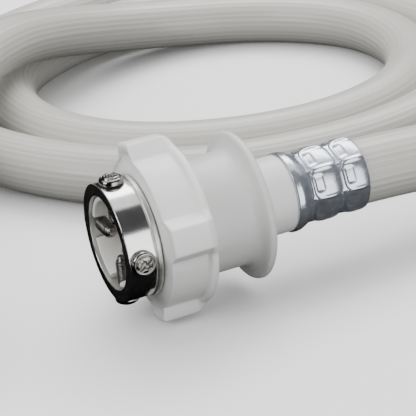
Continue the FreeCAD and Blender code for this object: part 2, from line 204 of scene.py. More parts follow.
def make_object(name, points, faces, uvs=None):
    """A smooth-shaded mesh object with points in one place welded and its faces facing out."""
    mesh = bpy.data.meshes.new(name)
    mesh.from_pydata([tuple(p) for p in points], [], faces)
    if uvs:
        layer = mesh.uv_layers.new(name="along")
        for loop in mesh.loops:
            layer.data[loop.index].uv = uvs[loop.vertex_index]
    edit = bmesh.new()
    edit.from_mesh(mesh)
    bmesh.ops.remove_doubles(edit, verts=edit.verts, dist=WELD)
    bmesh.ops.recalc_face_normals(edit, faces=edit.faces)
    edit.to_mesh(mesh)
    edit.free()
    for polygon in mesh.polygons:
        polygon.use_smooth = True
    obj = bpy.data.objects.new(name, mesh)
    bpy.context.collection.objects.link(obj)
    return obj


def even_normals(obj):
    """Flat faces shade flat although every edge is smooth."""
    obj.modifiers.new("even normals", "WEIGHTED_NORMAL")
    return obj


def quads(rows, length, rows_closed=True, length_closed=True):
    """Faces over a grid of points given row by row. Closed means that the last joins the first."""
    faces = []
    for a in range(rows if rows_closed else rows - 1):
        b = (a + 1) % rows
        for i in range(length if length_closed else length - 1):
            j = (i + 1) % length
            faces.append((a * length + i, a * length + j, b * length + j, b * length + i))
    return faces


def on_connector(along, radius, angle):
    """A place in metres from the mouth and about the connector's axis (0 is +Y, 90 is up)."""
    turn = math.radians(angle)
    return Vector((MOUTH + along, radius * math.cos(turn), AXIS_Z + radius * math.sin(turn)))


SOFTEN_SHARE = 0.45


def soften(corners, size, steps=4):
    """A closed outline in millimetres with each corner rounded off by up to size."""
    out = []
    count = len(corners)
    for i in range(count):
        before = Vector(corners[i - 1])
        corner = Vector(corners[i])
        after = Vector(corners[(i + 1) % count])
        back = before - corner
        ahead = after - corner
        start = corner + back.normalized() * min(size, SOFTEN_SHARE * back.length)
        end = corner + ahead.normalized() * min(size, SOFTEN_SHARE * ahead.length)
        for k in range(steps + 1):
            t = k / steps
            out.append(tuple((1 - t) ** 2 * start + 2 * t * (1 - t) * corner + t * t * end))
    return out


def even_angles(count):
    """Degrees around a full turn."""
    return [360 * i / count for i in range(count)]


def lathe(name, outline, angles, place=on_connector, shape=None):
    """A mesh turned from a closed outline in millimetres of (along, radius) points.

    shape(along, radius, angle, i) may move point i of the outline at an angle.
    """
    points = []
    for angle in angles:
        for i, (along, radius) in enumerate(outline):
            if shape:
                along_here, radius_here = shape(along, radius, angle, i)
            else:
                along_here, radius_here = along, radius
            points.append(place(along_here * MM, radius_here * MM, angle))
    return make_object(name, points, quads(len(angles), len(outline)))


def smooth_step(low, high, value):
    """0 up to low, 1 from high on, and an S-curve between."""
    t = min(1.0, max(0.0, (value - low) / (high - low)))
    return t * t * (3 - 2 * t)


# ---------------------------------------------------------------- materials

# Noise scales are in waves per metre and bump heights in metres. Noise stays mostly within its
# span. The hose's streaks are given around it, and per metre along it.
NOISE_SPAN = (0.3, 0.7)
PLASTIC_MOTTLE = 90
PLASTIC_SHEEN = 260
PLASTIC_GRAIN = 2600
PLASTIC_BUMP = 0.00006
PLASTIC_GLOW = 0.12
METAL_CLOUD = 300
METAL_BUMP = 0.00004
DENT_SCALE = 420
DENT_HEIGHT = 0.0004
RUBBER_MOTTLE = 150
RUBBER_SHEEN = 700
RUBBER_GRAIN = 1800
RUBBER_BUMP = 0.0001
HOSE_STREAKS = (46, 3, 1)
HOSE_DARK = (0.43, 0.42, 0.385)
HOSE_LIGHT = (0.53, 0.52, 0.485)
HOSE_SHEEN = 60
HOSE_GRAIN = 1500
HOSE_STREAK_BUMP = 0.0002
HOSE_GRAIN_BUMP = 0.00008
HOSE_GLOW = 0.03
GLOW_DEPTH = 0.003


def new_material(name):
    """A material with its nodes, links and shader."""
    material = bpy.data.materials.new(name)
    material.use_nodes = True
    nodes = material.node_tree.nodes
    return material, nodes, material.node_tree.links, nodes["Principled BSDF"]


def add_noise(nodes, links, coordinates, scale, detail, roughness=0.5):
    noise = nodes.new("ShaderNodeTexNoise")
    noise.inputs["Scale"].default_value = scale
    noise.inputs["Detail"].default_value = detail
    noise.inputs["Roughness"].default_value = roughness
    links.new(coordinates, noise.inputs["Vector"])
    return noise.outputs["Fac"]


def remap(nodes, links, value, low, high):
    """Spreads a noise value over low to high."""
    node = nodes.new("ShaderNodeMapRange")
    node.inputs["From Min"].default_value = NOISE_SPAN[0]
    node.inputs["From Max"].default_value = NOISE_SPAN[1]
    node.inputs["To Min"].default_value = low
    node.inputs["To Max"].default_value = high
    links.new(value, node.inputs["Value"])
    return node.outputs["Result"]


def vary_colour(nodes, links, value, dark, light):
    """Spreads a noise value over two colours."""
    ramp = nodes.new("ShaderNodeValToRGB")
    for element, position, colour in zip(ramp.color_ramp.elements, NOISE_SPAN, (dark, light)):
        element.position = position
        element.color = (*colour, 1)
    links.new(value, ramp.inputs["Fac"])
    return ramp.outputs["Color"]


def add_bump(nodes, links, height, strength, distance, shader, normal=None):
    """Small relief on the shader's normal, on top of an earlier bump's normal if there is one."""
    bump = nodes.new("ShaderNodeBump")
    bump.inputs["Strength"].default_value = strength
    bump.inputs["Distance"].default_value = distance
    links.new(height, bump.inputs["Height"])
    if normal:
        links.new(normal, bump.inputs["Normal"])
    links.new(bump.outputs["Normal"], shader.inputs["Normal"])
    return bump.outputs["Normal"]


def let_light_in(shader, weight, radius, specular):
    """A little light scattered under the skin, and how strongly the skin itself reflects."""
    shader.inputs["Subsurface Weight"].default_value = weight
    shader.inputs["Subsurface Radius"].default_value = radius
    shader.inputs["Subsurface Scale"].default_value = GLOW_DEPTH
    shader.inputs["Specular IOR Level"].default_value = specular


def plastic_material(name, dark, light, roughness):
    """Moulded white plastic: faint mottling, a soft skin and a little light scattered inside."""
    material, nodes, links, shader = new_material(name)
    place = nodes.new("ShaderNodeTexCoord").outputs["Object"]
    mottle = add_noise(nodes, links, place, PLASTIC_MOTTLE, 4)
    links.new(vary_colour(nodes, links, mottle, dark, light), shader.inputs["Base Color"])
    sheen = add_noise(nodes, links, place, PLASTIC_SHEEN, 5)
    sheen = remap(nodes, links, sheen, roughness - 0.06, roughness + 0.08)
    links.new(sheen, shader.inputs["Roughness"])
    grain = add_noise(nodes, links, place, PLASTIC_GRAIN, 3)
    add_bump(nodes, links, grain, 0.12, PLASTIC_BUMP, shader)
    let_light_in(shader, PLASTIC_GLOW, (1.0, 0.9, 0.8), 0.45)
    return material


def metal_material(name, dark, light, roughness, grain_scale, grain, dents=0.0, metallic=1.0):
    """Bright metal with a fine grain, cloudy polish and, if asked, shallow dents."""
    material, nodes, links, shader = new_material(name)
    place = nodes.new("ShaderNodeTexCoord").outputs["Object"]
    shader.inputs["Metallic"].default_value = metallic
    cloud = add_noise(nodes, links, place, METAL_CLOUD, 5)
    links.new(vary_colour(nodes, links, cloud, dark, light), shader.inputs["Base Color"])
    fine = add_noise(nodes, links, place, grain_scale, 4, 0.65)
    polish = remap(nodes, links, fine, roughness * 0.8, roughness * 1.3)
    links.new(polish, shader.inputs["Roughness"])
    normal = add_bump(nodes, links, fine, grain, METAL_BUMP, shader)
    if dents:
        dent = add_noise(nodes, links, place, DENT_SCALE, 2)
        add_bump(nodes, links, dent, dents, DENT_HEIGHT, shader, normal)
    return material


def rubber_material(name, dark, light, roughness):
    """Matt rubber with a fine grain."""
    material, nodes, links, shader = new_material(name)
    place = nodes.new("ShaderNodeTexCoord").outputs["Object"]
    mottle = add_noise(nodes, links, place, RUBBER_MOTTLE, 4)
    links.new(vary_colour(nodes, links, mottle, dark, light), shader.inputs["Base Color"])
    sheen = add_noise(nodes, links, place, RUBBER_SHEEN, 3)
    sheen = remap(nodes, links, sheen, roughness - 0.08, roughness + 0.1)
    links.new(sheen, shader.inputs["Roughness"])
    grain = add_noise(nodes, links, place, RUBBER_GRAIN, 4)
    add_bump(nodes, links, grain, 0.25, RUBBER_BUMP, shader)
    return material


def hose_material(name):
    """Grey PVC over reinforcing yarn: streaks along the hose and a soft sheen."""
    material, nodes, links, shader = new_material(name)
    coordinates = nodes.new("ShaderNodeTexCoord")
    stretch = nodes.new("ShaderNodeMapping")
    stretch.inputs["Scale"].default_value = HOSE_STREAKS
    links.new(coordinates.outputs["UV"], stretch.inputs["Vector"])
    streak = add_noise(nodes, links, stretch.outputs["Vector"], 1.0, 1.5)
    links.new(vary_colour(nodes, links, streak, HOSE_DARK, HOSE_LIGHT), shader.inputs["Base Color"])
    place = coordinates.outputs["Object"]
    sheen = add_noise(nodes, links, place, HOSE_SHEEN, 2)
    links.new(remap(nodes, links, sheen, 0.28, 0.38), shader.inputs["Roughness"])
    normal = add_bump(nodes, links, streak, 0.2, HOSE_STREAK_BUMP, shader)
    grain = add_noise(nodes, links, place, HOSE_GRAIN, 3)
    add_bump(nodes, links, grain, 0.04, HOSE_GRAIN_BUMP, shader, normal)
    let_light_in(shader, HOSE_GLOW, (1.0, 0.95, 0.85), 0.5)
    return material


# Name, the two colours it varies between, roughness, and for metals the grain's scale and strength.
WHITE = plastic_material("white_plastic", (0.74, 0.75, 0.725), (0.78, 0.79, 0.765), 0.36)
SLEEVE_WHITE = plastic_material("sleeve_plastic", (0.575, 0.58, 0.565), (0.615, 0.62, 0.605), 0.38)
LINER = rubber_material("pale_rubber", (0.68, 0.67, 0.63), (0.76, 0.75, 0.71), 0.5)
BLACK_RUBBER = rubber_material("black_rubber", (0.012, 0.012, 0.012), (0.03, 0.03, 0.03), 0.6)
PLATE = metal_material("chrome_plate", (0.70, 0.70, 0.69), (0.83, 0.83, 0.82), 0.15, 3200, 0.16,
                       metallic=0.985)
LIP_PLATE = metal_material("satin_plate", (0.58, 0.565, 0.53), (0.82, 0.805, 0.77), 0.36, 3600, 0.9,
                           metallic=0.9)
SCREW_PLATE = metal_material("plated_screw", (0.27, 0.26, 0.245), (0.47, 0.46, 0.44), 0.17,
                             2600, 0.15)
# The screw shanks' darker steel is painted shade where the shanks run inside the ring; the dog
# points keep the heads' finish.
SHANK_SHADE_STEEL = metal_material("screw_thread", (0.16, 0.155, 0.15), (0.30, 0.29, 0.28), 0.3,
                              2000, 0.2)
STEEL = metal_material("steel", (0.52, 0.52, 0.52), (0.66, 0.66, 0.65), 0.25, 2000, 0.2)
BRASS = metal_material("brass", (0.56, 0.40, 0.16), (0.76, 0.57, 0.28), 0.28, 1800, 0.2)
ALUMINIUM = metal_material("aluminium", (0.60, 0.64, 0.73), (0.75, 0.79, 0.87), 0.215, 600, 0.05,
                           dents=0.09, metallic=0.82)
HOSE = hose_material("hose")


def finish_piece(obj, material, body, node):
    """Gives a piece its material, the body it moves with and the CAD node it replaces."""
    obj.data.materials.append(material)
    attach(obj, body)
    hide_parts(node)
    return obj


# ---------------------------------------------------------------- clamp ring

# From here on, the connector's outlines are millimetres from the mouth and from the axis.
RING_BAND_R = 16.5
RING_BORE_R = 13.0
RING_TAIL_R = 14.9
RING_TAIL_END = 17.0
RING_THREADS = 3
RING_PITCH = 2.0
RING_LIP_START = 7.8


def clamp_ring():
    """Plated band with a matt back lip, a fine groove in front of it, and a threaded tail."""
    corners = [(0, RING_BORE_R), (0, RING_BAND_R), (7.6, RING_BAND_R), (7.7, 16.36)]
    corners += [(7.85, 16.36), (7.95, 16.72), (9.3, 16.9), (9.3, RING_TAIL_R)]
    for i in range(RING_THREADS):
        start = 10.2 + RING_PITCH * i
        corners += [(start, RING_TAIL_R), (start + 0.5, 14.2), (start + 0.9, 14.2)]
        corners += [(start + 1.4, RING_TAIL_R)]
    corners += [(RING_TAIL_END, RING_TAIL_R), (RING_TAIL_END, RING_BORE_R)]
    ring = even_normals(lathe("plated_ring", soften(corners, 0.32, 3), even_angles(256)))
    finish_piece(ring, PLATE, "ring", "clamp_ring")
    ring.data.materials.append(LIP_PLATE)
    lip_start = MOUTH + RING_LIP_START * MM
    for polygon in ring.data.polygons:
        if polygon.center.x > lip_start:
            polygon.material_index = 1


# ---------------------------------------------------------------- clamp screws

# Millimetres and degrees. The station is measured from the mouth and heights from the head's seat.
# The disc is the raised middle of the head, with the slot and cross cut into it.
SCREW_STATION = 3.7
SCREW_FIRST_ANGLE = 89
SCREW_SEAT_R = 16.65
SCREW_LENGTH = 11.9
SCREW_PITCH = 0.7
SCREW_SIDES = 144
SCREW_SPINS = (20, 52, 80, 35)
THREAD_START = 1.1
THREAD_FADE_END = 1.9
THREAD_CORE_R = 1.55
THREAD_HEIGHT = 0.43
THREAD_ROWS = 7
UNTHREADED = 1.6
# Heights between which the shank takes the darker steel, painted shade inside the ring.
SHANK_SHADE_START = 0.95
SHANK_SHADE_END = -0.1
HEAD_HEIGHT = 2.17
DISC_R = 2.05
DISC_CROWN = 0.1
DISC_ROWS = 22
RECESS_EDGE = (0.36, 0.62)
ARM_END = (1.35, 1.8)
WELL_EDGE = (0.4, 1.3)
WELL_DEPTH = 1.3
TIP = [(0.0, 0.0), (0.0, 0.8), (0.15, 1.15), (0.3, 1.22), (0.9, 1.25), (1.0, 1.45)]
NECK = [(-0.4, 1.7), (-0.02, 1.7), (0.0, 1.8)]
HEAD_RIM = [
    (0.0, 3.1),
    (0.08, 3.28),
    (0.26, 3.38),
    (0.55, 3.4),
    (0.9, 3.37),
    (1.22, 3.26),
    (1.48, 3.06),
    (1.62, 2.84),
    (1.64, 2.66),
    (1.56, 2.54),
    (1.5, 2.46),
    (1.6, 2.4),
]
DISC_EDGE = [(1.82, 2.34), (1.98, 2.22), (2.06, DISC_R)]


def recess_depth(across, along):
    """Depth in millimetres of the combined slot and cross at a point of the head's top."""
    slot = 1 - smooth_step(*RECESS_EDGE, abs(across))
    arm = (1 - smooth_step(*RECESS_EDGE, abs(along))) * (1 - smooth_step(*ARM_END, abs(across)))
    well = 1 - smooth_step(*WELL_EDGE, math.hypot(across, along))
    return max(slot, arm, WELL_DEPTH * well)


def screw_outline():
    """Rows of (height above the seat, radius, part) from the tip up to the head's middle."""
    rows = [(-SCREW_LENGTH + height, radius, "tip") for height, radius in TIP]
    threaded = SCREW_LENGTH - UNTHREADED
    count = int(threaded / SCREW_PITCH * THREAD_ROWS)
    for i in range(count + 1):
        rows.append((-SCREW_LENGTH + THREAD_START + threaded * i / count, THREAD_CORE_R, "thread"))
    rows += [(height, radius, "neck") for height, radius in NECK]
    rows += [(height, radius, "head") for height, radius in HEAD_RIM]
    rows += [(height, radius, "top") for height, radius in DISC_EDGE]
    for i in range(1, DISC_ROWS + 1):
        across = DISC_R * (1 - i / DISC_ROWS)
        rows.append((HEAD_HEIGHT - DISC_CROWN * (across / DISC_R) ** 2, across, "top"))
    return rows


def thread_radius(height, turned):
    """Radius of the helical thread at a height, after a share of one turn around the shank."""
    phase = (height / SCREW_PITCH - turned) % 1
    ridge = 1 - abs(2 * phase - 1)
    fade = smooth_step(-SCREW_LENGTH + THREAD_START, -SCREW_LENGTH + THREAD_FADE_END, height)
    return THREAD_CORE_R + THREAD_HEIGHT * smooth_step(0.15, 0.85, ridge) * fade


def clamp_screw(index):
    """Pan head screw with a real helical thread and a dog point. Its shank is darker: painted shade
    where it runs inside the ring.
    """
    angle = SCREW_FIRST_ANGLE + 360 / SCREWS * index
    out = on_connector(0, 1, angle) - on_connector(0, 0, angle)
    side = Vector((1, 0, 0))
    other = out.cross(side)
    seat = on_connector(SCREW_STATION * MM, SCREW_SEAT_R * MM, angle)
    rows = screw_outline()
    spin = math.radians(SCREW_SPINS[index])
    points = []
    for k in range(SCREW_SIDES):
        turn = FULL_TURN * k / SCREW_SIDES
        flat = side * math.cos(turn) + other * math.sin(turn)
        for height, radius, part in rows:
            if part == "thread":
                radius = thread_radius(height, k / SCREW_SIDES)
            if part == "top":
                across = radius * math.cos(turn + spin)
                along = radius * math.sin(turn + spin)
                height = height - recess_depth(across, along)
            points.append(seat + out * height * MM + flat * radius * MM)
    name = "screw_%d" % (index + 1)
    screw = make_object(name, points, quads(SCREW_SIDES, len(rows), length_closed=False))
    finish_piece(screw, SCREW_PLATE, name, "clamp_" + name)
    screw.data.materials.append(SHANK_SHADE_STEEL)
    for polygon in screw.data.polygons:
        height = (polygon.center - seat).dot(out) / MM
        if SHANK_SHADE_START - SCREW_LENGTH < height < SHANK_SHADE_END:
            polygon.material_index = 1


# ---------------------------------------------------------------- packing cup

NOTCH_END = 8.5
NOTCH_HALF = 3.2
NOTCH_ROUNDING = 1.6
CUP_WALL_R = 12
CUP_FLOOR_R = 9.7


def packing():
    """Pale soft cup inside the ring. Its wall is open in front where the screws come through."""
    corners = [(1.0, 11.35), (1.0, 12.6), (17.6, 12.6), (17.6, 4.6), (14.5, 4.6), (14.5, 9.6)]
    sector = 360 / SCREWS
    half = math.degrees(NOTCH_HALF / CUP_WALL_R)

    def notched(along, radius, angle, _):
        off = (angle - SCREW_FIRST_ANGLE + sector / 2) % sector - sector / 2
        if abs(off) < half and radius > CUP_FLOOR_R:
            along = max(along, NOTCH_END - NOTCH_ROUNDING * (abs(off) / half) ** 6)
        return along, radius

    cup = even_normals(lathe("packing_cup", soften(corners, 0.5), even_angles(360), shape=notched))
    finish_piece(cup, LINER, "adapter", "packing")


# ---------------------------------------------------------------- lock nut

LOBES = 4
LOBE_CENTRE = 75
LOBE_TIP_HALF = 8.4
LOBE_FOOT_HALF = 15.5
TIP_ROUNDING = 0.09
FOOT_ROUNDING = 0.12
WALL_MARGIN = 1.6
WALL_STEPS = 32
TIP_STEPS = 14
RECESS_STEPS = 40
NUT_ROWS = [
    # millimetres from the mouth, radius in a recess, radius on a lobe
    (9.8, 15.3, 15.3),
    (9.71, 15.6, 15.6),
    (9.7, 16.4, 16.4),
    (9.74, 17.2, 17.2),
    (9.9, 17.7, 17.7),
    (10.5, 19.4, 19.2),
    (10.72, 20.1, 19.8),
    (10.8, 20.4, 20.2),
    (10.86, 20.6, 20.6),
    (10.95, 20.72, 21.1),
    (10.92, 20.76, 21.7),
    (10.4, 20.8, 22.3),
    (10.08, 20.82, 22.9),
    (10.0, 20.84, 23.7),
    (10.04, 20.86, 24.2),
    (10.14, 20.87, 24.55),
    (10.34, 20.88, 24.8),
    (10.62, 20.9, 24.94),
    (11.0, 20.9, 25.0),
    (13.0, 20.92, 25.0),
    (16.0, 20.95, 25.0),
    (18.5, 20.98, 24.98),
    (19.9, 21.0, 24.94),
    (20.25, 21.1, 24.9),
    (20.45, 21.5, 24.86),
    (20.6, 22.0, 24.8),
    (20.8, 22.36, 24.7),
    (21.2, 22.56, 24.5),
    (21.8, 22.6, 24.1),
    (22.3, 22.5, 23.5),
    (22.65, 22.2, 22.7),
    (22.8, 21.6, 21.8),
    (22.8, 15.0, 15.0),
    (22.8, 9.3, 9.3),
    (22.5, 9.0, 9.0),
    (20.0, 9.0, 9.0),
    (20.0, 14.95, 14.95),
    (17.0, 14.95, 14.95),
    (11.5, 14.95, 14.95),
    (10.2, 14.97, 14.97),
]


def nut_angles():
    """Angles close together over the lobes' side walls and wider apart elsewhere."""
    angles = []
    step = 360 / LOBES
    wall = LOBE_FOOT_HALF - LOBE_TIP_HALF + 2 * WALL_MARGIN
    tip = 2 * (LOBE_TIP_HALF - WALL_MARGIN)
    recess = step - 2 * wall - tip
    parts = [(wall, WALL_STEPS), (tip, TIP_STEPS), (wall, WALL_STEPS), (recess, RECESS_STEPS)]
    for k in range(LOBES):
        start = LOBE_CENTRE + step * k - LOBE_FOOT_HALF - WALL_MARGIN
        for width, count in parts:
            angles += [start + width * i / count for i in range(count)]
            start += width
    return angles


def lobe_height(off):
    """1 on a lobe's tip, 0 in a recess, straight between, with both corners rounded off."""
    wall = (LOBE_FOOT_HALF - off) / (LOBE_FOOT_HALF - LOBE_TIP_HALF)
    height = 0.5 * (wall + 1 - math.hypot(wall - 1, TIP_ROUNDING))
    settle = 0.25 * FOOT_ROUNDING * FOOT_ROUNDING / (0.2 + max(0.0, height))
    return 0.5 * (height + math.hypot(height, FOOT_ROUNDING)) - settle


def lock_nut():
    """Hand nut: four lobes with sloping sides and rolled ends, and a rim around the back."""
    step = 360 / LOBES

    def lobed(along, _, angle, row):
        off = abs((angle - LOBE_CENTRE + step / 2) % step - step / 2)
        _, recess_r, lobe_r = NUT_ROWS[row]
        return along, recess_r + (lobe_r - recess_r) * lobe_height(off)

    outline = [(row[0], row[1]) for row in NUT_ROWS]
    nut = even_normals(lathe("hand_nut", outline, nut_angles(), shape=lobed))
    finish_piece(nut, WHITE, "nut", "lock_nut")


# ---------------------------------------------------------------- quick connector

SLEEVE_INNER_WALL = 38.45
SPIGOT_RIBS = 4
SPIGOT_RIB_START = 54.7
SPIGOT_RIB_STEP = 4.5


def release_sleeve():
    """Sleeve with a concave fillet running out into a thin round-edged finger flange."""
    corners = [(23.3, 14.6), (23.3, 16.0), (23.6, 16.2), (30, 16.2), (35.2, 16.22), (36.6, 16.4)]
    corners += [(37.5, 16.9), (38.15, 17.9), (38.5, 19.3), (38.6, 20.2), (38.85, 20.75)]
    corners += [(39.4, 21.0), (40.1, 20.95), (40.6, 20.55), (40.8, 19.9), (40.8, 14)]
    corners += [(40.8, 12.6), (40.6, 12.4), (SLEEVE_INNER_WALL, 12.4), (SLEEVE_INNER_WALL, 14.6)]
    sleeve = even_normals(lathe("finger_sleeve", soften(corners, 0.25, 2), even_angles(256)))
    finish_piece(sleeve, SLEEVE_WHITE, "sleeve", "release_sleeve")


def socket_body():
    """Socket with its shoulder, the hub behind the sleeve, the neck and the ribbed spigot."""
    corners = [(23.6, 8.5), (23.6, 11.25), (36.6, 11.25), (36.6, 14.2), (38.4, 14.2), (38.4, 12.0)]
    corners += [(43.4, 12.0), (43.4, 11.0), (52.2, 10.9), (52.2, 6.6)]
    for i in range(SPIGOT_RIBS):
        rib = SPIGOT_RIB_START + SPIGOT_RIB_STEP * i
        corners += [(rib, 6.1), (rib + 3.6, 6.6), (rib + 4.2, 6.6)]
    corners += [(73.8, 6.0), (73.8, 4.5), (37.4, 4.5), (37.4, 8.06), (24.1, 8.06)]
    body = even_normals(lathe("socket_neck", soften(corners, 0.35, 3), even_angles(192)))
    finish_piece(body, WHITE, "socket", "socket_body")


# ---------------------------------------------------------------- ferrules

# Millimetres from the collar and from the axis, degrees around it. "Across" goes from 0 in a
# facet's middle to 1 at its edge.
CRIMPS = 8
CRIMP_RIDGE = 133
FERRULE_LENGTH = 23.1
FERRULE_STEPS = 150
COLLAR_R = 11.45
COLLAR_DROP = 1.6
COLLAR_FALL = (1.4, 6.3)
CRIMP_START = (4.4, 6.4)
FACET_R = 9.66
FACET_FLATNESS = 0.45
PADS = ((5.7, 14.7), (15.3, 23.7))
PAD_HEIGHT = 0.74
PAD_CORNER = 0.9
PAD_SLANT = 1.12
PAD_FULLNESS = 0.45
CROWN_HEIGHT = 0.22
CROWN_EDGE = (0.55, 0.95)
BEAD_HEIGHT = 0.08
BEAD_RISE = 0.36
BEAD_WIDTH = 0.16
WINDOW_START = 1.0
WINDOW_LENGTH = 2.4
WINDOW_DEPTH = 0.5
WINDOW_RISE = 0.3
WINDOW_SLOPE = 0.5
WINDOW_SIDE = (0.42, 0.74)


def pad_swell(along, across):
    """0 at the ends of a pressed pad, rising quickly and staying full to near its far end."""
    swell = 0.0
    inset = PAD_CORNER * across ** 5
    for start, end in PADS:
        t = min(1.0, max(0.0, (along - start - inset) / (end - start - 2 * inset)))
        swell = max(swell, math.sin(math.pi * t ** PAD_SLANT) ** PAD_FULLNESS if 0 < t < 1 else 0.0)
    return swell


def window_depth(along, across):
    """Depth of the window pressed into each pad near its start, shallower towards its middle."""
    depth = 0.0
    for start, _ in PADS:
        near = start + WINDOW_START
        far = near + WINDOW_LENGTH
        inside = smooth_step(near - WINDOW_SLOPE, near + WINDOW_SLOPE, along)
        inside *= 1 - smooth_step(far - WINDOW_SLOPE, far + WINDOW_SLOPE, along)
        floor_here = WINDOW_DEPTH - WINDOW_RISE * (along - near) / WINDOW_LENGTH
        depth = max(depth, floor_here * inside * (1 - smooth_step(*WINDOW_SIDE, across)))
    return depth


def crimped(along, angle):
    """Outer radius of the crimped shell, in millimetres, at a distance from its collar."""
    sector = 360 / CRIMPS
    off = abs((angle - CRIMP_RIDGE) % sector - sector / 2)
    across = off / (sector / 2)
    swell = pad_swell(along, across)
    round_part = COLLAR_R - COLLAR_DROP * smooth_step(*COLLAR_FALL, along)
    facet = (FACET_R + PAD_HEIGHT * swell) / math.cos(math.radians(off)) ** FACET_FLATNESS
    facet += (BEAD_HEIGHT + BEAD_RISE * swell) * math.exp(-((1 - across) / BEAD_WIDTH) ** 2)
    facet += CROWN_HEIGHT * swell * (1 - smooth_step(*CROWN_EDGE, across))
    radius = round_part + smooth_step(*CRIMP_START, along) * (facet - round_part)
    return radius - window_depth(along, across)


def ferrule_shell(name, place, node):
    """Thin aluminium shell: a flared collar, then two rows of pressed pads around it."""
    outer = [(0.0, 10.6), (0.05, 11.2)]
    outer += [(FERRULE_LENGTH * i / FERRULE_STEPS, 0) for i in range(1, FERRULE_STEPS)]
    outer += [(FERRULE_LENGTH, 0)]
    inner = [(FERRULE_LENGTH + 0.02, 9.62), (FERRULE_LENGTH - 0.4, 9.52)]
    inner += [(1.0, 9.5), (1.0, 6.7), (0.0, 6.7)]

    def pressed(along, radius, angle, row):
        if 2 <= row < len(outer):
            radius = crimped(along, angle)
            radius -= 0.25 * smooth_step(FERRULE_LENGTH - 0.35, FERRULE_LENGTH, along)
            radius -= 0.3 * (1 - smooth_step(0, 0.4, along))
        return along, radius

    shell = even_normals(lathe(name, outer + inner, even_angles(384), place=place, shape=pressed))
    return finish_piece(shell, ALUMINIUM, "socket", node)


def on_ferrule(along, radius, angle):
    return on_connector(FERRULE_START - MOUTH + along, radius, angle)


def on_end_ferrule(along, radius, angle):
    turn = math.radians(angle)
    x = END_AXIS_X + radius * math.cos(turn)
    return Vector((x, END_COLLAR_Y + along, END_AXIS_Z + radius * math.sin(turn)))


# ---------------------------------------------------------------- hose

HOSE_SIDES = 120
HOSE_RIBS = 30
HOSE_GROOVE = 0.12 * MM


def hose_radius(turn):
    """Outer radius in metres at an angle around the hose: fine ribs along its length."""
    wave = 0.5 + 0.5 * math.cos(HOSE_RIBS * turn)
    return HOSE_R - HOSE_GROOVE * wave ** 3


def hose_tube(line):
    """A closed ribbed tube along the line, with the ribs running straight along it."""
    points = []
    uvs = []
    tangent = (line[1] - line[0]).normalized()
    side = tangent.cross(UP).normalized()
    travelled = 0.0
    for i, place in enumerate(line):
        ahead = (line[min(i + 1, len(line) - 1)] - line[max(i - 1, 0)]).normalized()
        side = tangent.rotation_difference(ahead) @ side
        side = (side - ahead * side.dot(ahead)).normalized()
        tangent = ahead
        up = ahead.cross(side)
        if i:
            travelled += (place - line[i - 1]).length
        for k in range(HOSE_SIDES):
            turn = FULL_TURN * k / HOSE_SIDES
            radius = hose_radius(turn)
            points.append(place + (side * math.cos(turn) + up * math.sin(turn)) * radius)
            uvs.append((1 - abs(2 * k / HOSE_SIDES - 1), travelled))
    faces = quads(len(line), HOSE_SIDES, rows_closed=False)
    last = (len(line) - 1) * HOSE_SIDES
    faces.append(tuple(range(HOSE_SIDES)))
    faces.append(tuple(last + k for k in range(HOSE_SIDES)))
    return make_object("ribbed_hose", points, faces, uvs)


# ---------------------------------------------------------------- machine end

# Millimetres from the nut's back and from its axis.
UNION_LENGTH = (UNION_BOX[1][0] - UNION_BOX[0][0]) / MM
UNION_R = (UNION_BOX[1][2] - UNION_BOX[0][2]) / 2 / MM
UNION_BODY_R = 14.8
UNION_RIBS = 12
UNION_RIB_SIDE = (9.0, 11.6)
UNION_RIB_START = (3.3, 4.2)
UNION_RIB_END = (3.0, 2.0)
UNION_PITCH = 1.81
UNION_THREADS = 6
THREAD_CREST_R = 12.1
THREAD_ROOT_R = 12.55


def on_union(along, radius, angle):
    turn = math.radians(angle)
    y = UNION_Y + radius * math.cos(turn)
    return Vector((UNION_BACK - along, y, UNION_Z + radius * math.sin(turn)))


def union_nut():
    """Hand nut with rounded grip ribs and an inside thread."""
    end = UNION_LENGTH
    rows = [(0, 9.3), (0, 12.6), (0.4, 13.2), (1.4, 14.4), (2.0, 14.7)]
    for along in (3.2, 3.6, 4.2, end - 3.6, end - 3.0, end - 0.6):
        rows.append((along, UNION_BODY_R))
    rows += [(end - 0.1, 14.5), (end, 14.2), (end, 12.7), (end - 0.7, THREAD_CREST_R)]
    for i in range(UNION_THREADS):
        start = end - 1.2 - UNION_PITCH * i
        rows += [(start, THREAD_CREST_R), (start - 0.5, THREAD_ROOT_R)]
        rows += [(start - 0.8, THREAD_ROOT_R), (start - 1.3, THREAD_CREST_R)]
    rows += [(8.0, THREAD_CREST_R), (3.0, THREAD_CREST_R), (3.0, 8.9), (0.3, 8.9)]

    def ribbed(along, radius, angle, _):
        if radius >= UNION_BODY_R:
            off = abs(angle % (360 / UNION_RIBS) - 180 / UNION_RIBS)
            rise = smooth_step(*UNION_RIB_SIDE, off) * smooth_step(*UNION_RIB_START, along)
            rise *= 1 - smooth_step(end - UNION_RIB_END[0], end - UNION_RIB_END[1], along)
            radius += (UNION_R - UNION_BODY_R) * rise
        return along, radius

    nut = lathe("union_hand_nut", rows, even_angles(360), place=on_union, shape=ribbed)
    return finish_piece(even_normals(nut), WHITE, "union", "union_nut")


# Lengths in metres, radii in millimetres.
ELBOW_SPIGOT = 0.021
ELBOW_BEND = 0.0098
ELBOW_BEND_STEPS = 14
ELBOW_SIDES = 96
ELBOW_R = 8.5
ELBOW_BORE_R = 4.8
SPIGOT_R = 6.6
FLANGE_R = 11.6
FLANGE_GAP = 0.0032
FLANGE_THICKNESS = 0.0022
EDGE = 0.0002


